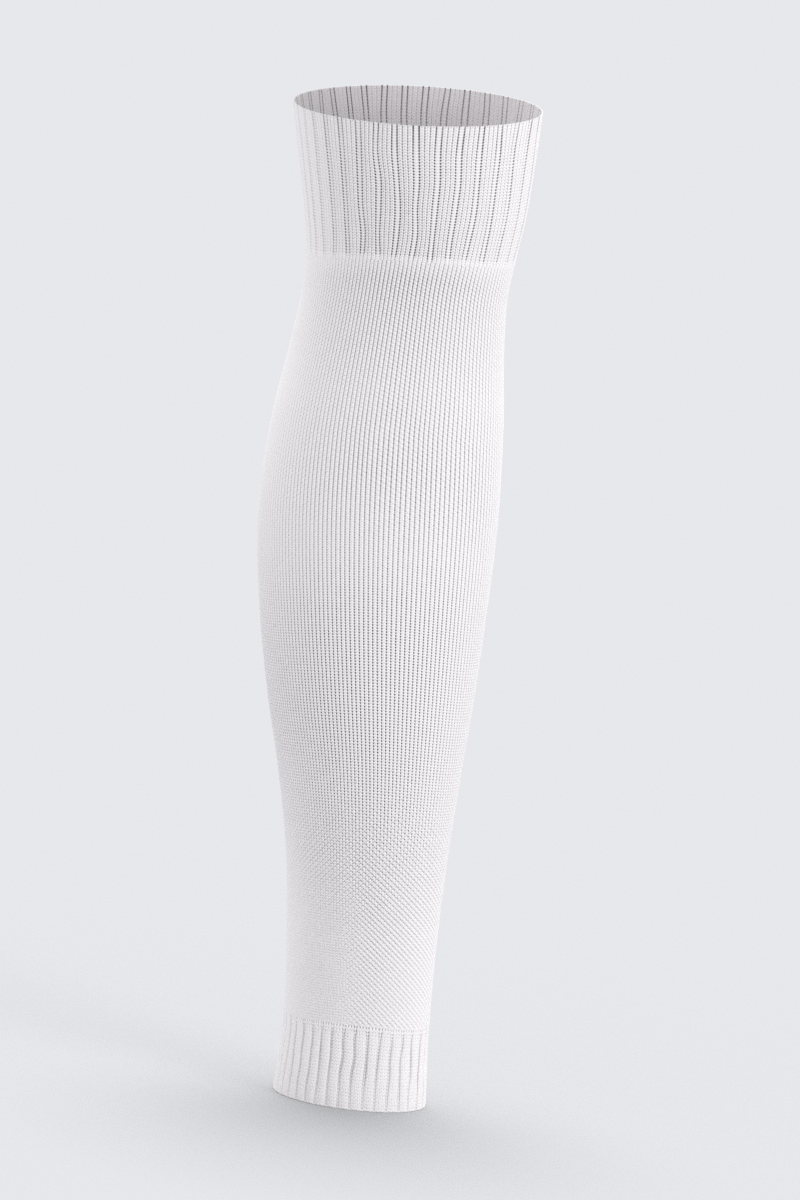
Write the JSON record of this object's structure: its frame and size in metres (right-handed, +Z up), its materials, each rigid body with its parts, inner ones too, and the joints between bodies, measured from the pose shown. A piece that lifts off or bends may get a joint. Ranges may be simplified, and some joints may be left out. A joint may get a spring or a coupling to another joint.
{
  "type": "knitted calf sleeve",
  "caption": "Footless knitted tube for the lower leg, shaped over the calf, with a broad ribbed cuff below the knee and a short ribbed cuff above the ankle.",
  "frame": {"origin": "on the line through the middles of both rims, at the height of the calf's widest girth, where the leg holds the sleeve", "axes": "+Z up the leg from the ankle to the knee, +X towards the shin, -X towards the calf, +Y across the leg"},
  "size_m": [0.1024, 0.0938, 0.4075],
  "materials": {
    "rib_knit": "matt white rib knit",
    "plain_knit": "matt white plain knit"
  },
  "bodies": {
    "root": {"knee_cuff": "rib_knit", "leg_tube": "plain_knit", "ankle_cuff": "rib_knit"}
  },
  "joints": []
}
